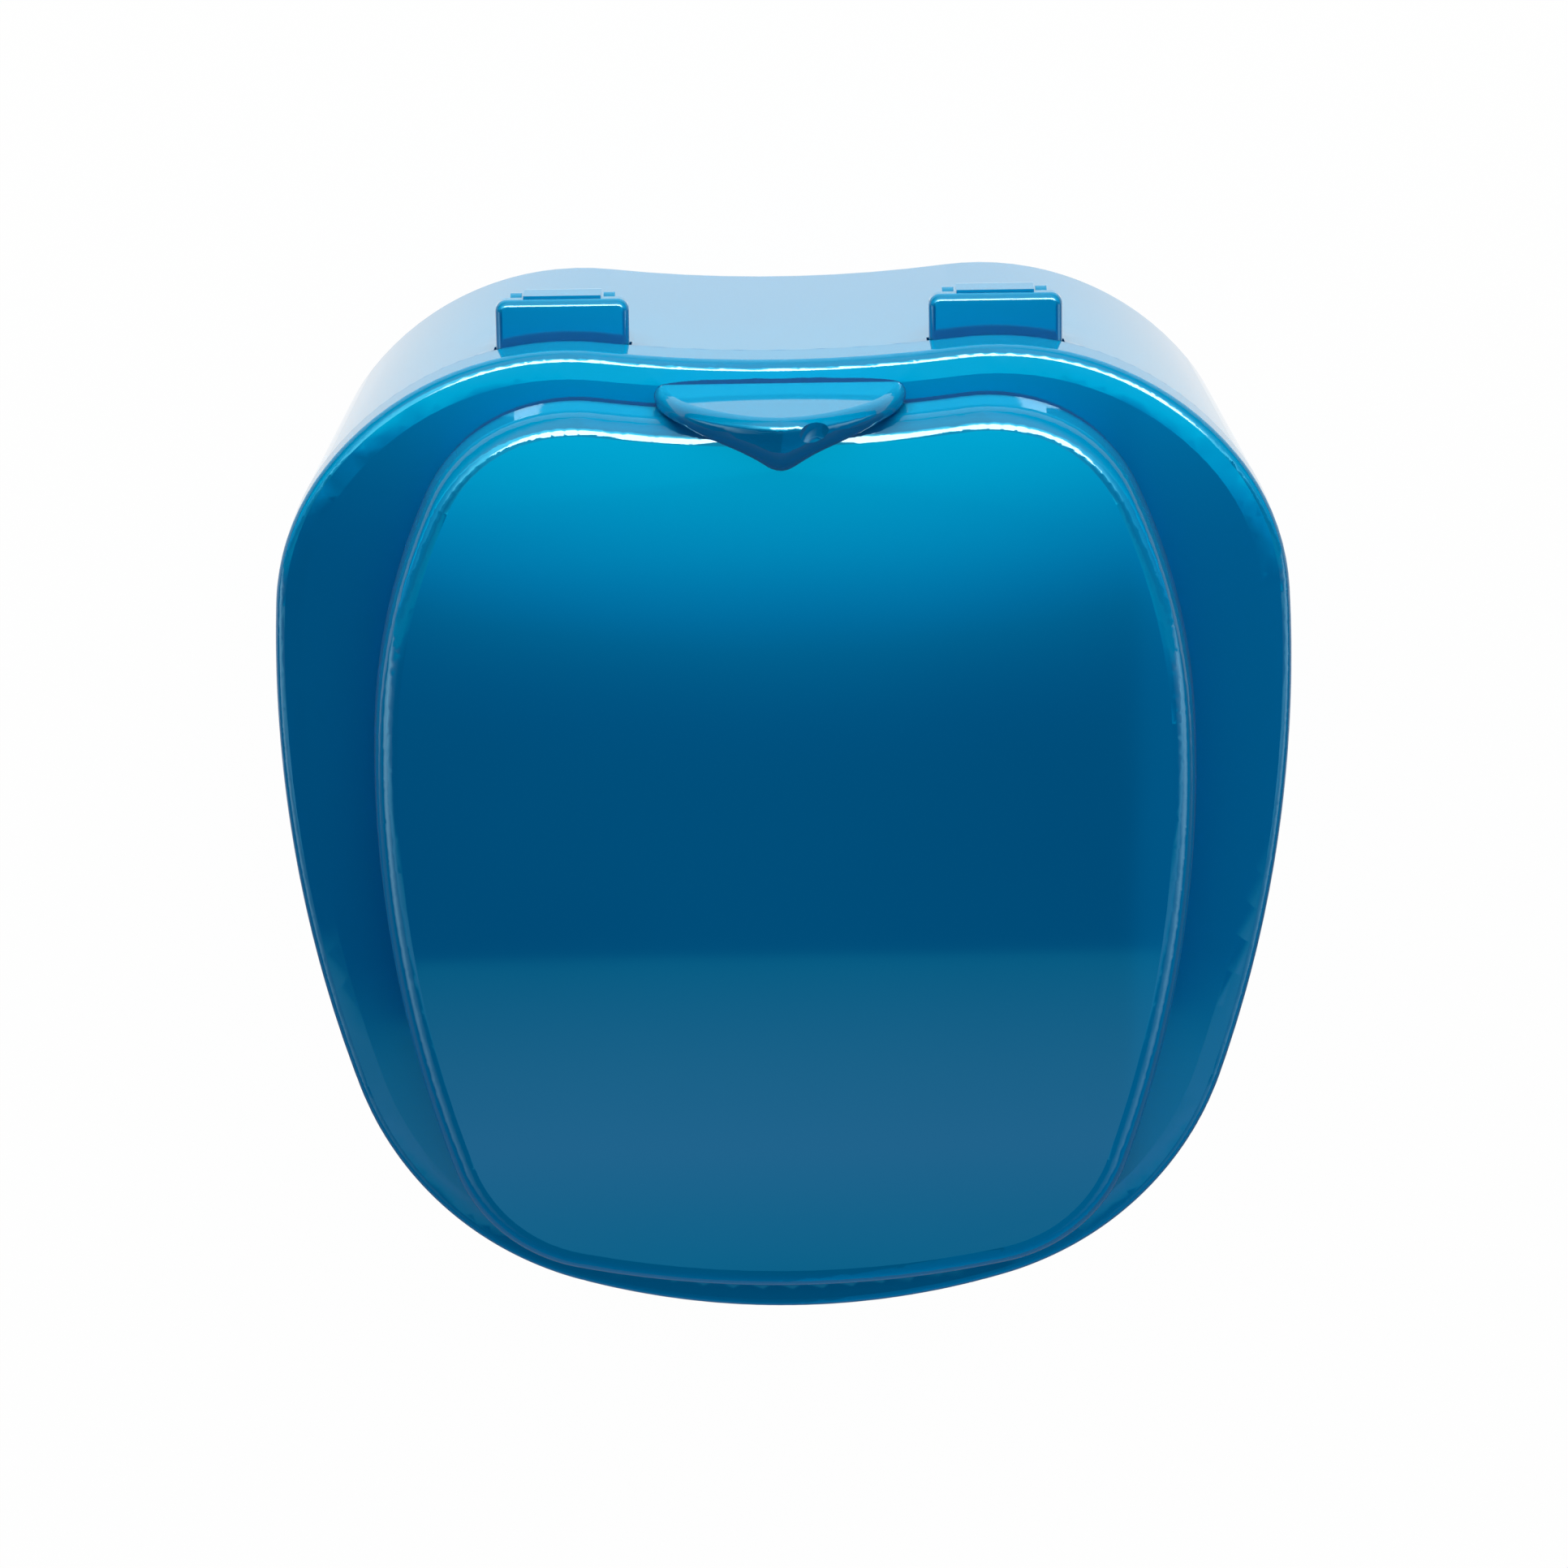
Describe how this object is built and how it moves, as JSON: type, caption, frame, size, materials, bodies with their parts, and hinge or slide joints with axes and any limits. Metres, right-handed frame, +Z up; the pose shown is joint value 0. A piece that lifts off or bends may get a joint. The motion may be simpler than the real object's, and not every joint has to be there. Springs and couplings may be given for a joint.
{
  "type": "rinse basket case",
  "caption": "Two-lobed personal care case: a tub with a hinged lid that closes over its rim, and a lift-out rinse basket with a folding handle.",
  "frame": {"origin": "centre of the footprint on the surface the case stands on", "axes": "+Z up from the tub base to the lid, +Y towards the hinges, X across the two lobes"},
  "size_m": [0.0896, 0.0926, 0.0606],
  "materials": {
    "case_plastic": "gloss",
    "basket_plastic": "satin"
  },
  "bodies": {
    "case": {"tub": "case_plastic", "hinge_pin_left": "case_plastic", "hinge_pin_right": "case_plastic"},
    "lid": {"lid": "case_plastic"},
    "basket": {"rinse_basket": "basket_plastic"},
    "handle": {"basket_bail": "basket_plastic"}
  },
  "joints": [
    {"name": "lid_hinge", "type": "hinge", "parent": "case", "child": "lid", "pos_m": [0, 0.04473, 0.04135], "axis": [-1, 0, 0], "range_deg": [0, 120]},
    {"name": "basket_lift", "type": "slide", "parent": "case", "child": "basket", "axis": [0, 0, 1], "range_m": [0, 0.03]},
    {"name": "bail_fold", "type": "hinge", "parent": "basket", "child": "handle", "pos_m": [0, 0.01443, 0.0446], "axis": [-1, 0, 0], "range_deg": [0, 90]}
  ],
  "couplings": [
    {"joint": "basket_lift", "follows": "lid_hinge", "m_per_rad": 0.0143},
    {"joint": "bail_fold", "follows": "lid_hinge", "ratio": 0.75}
  ]
}
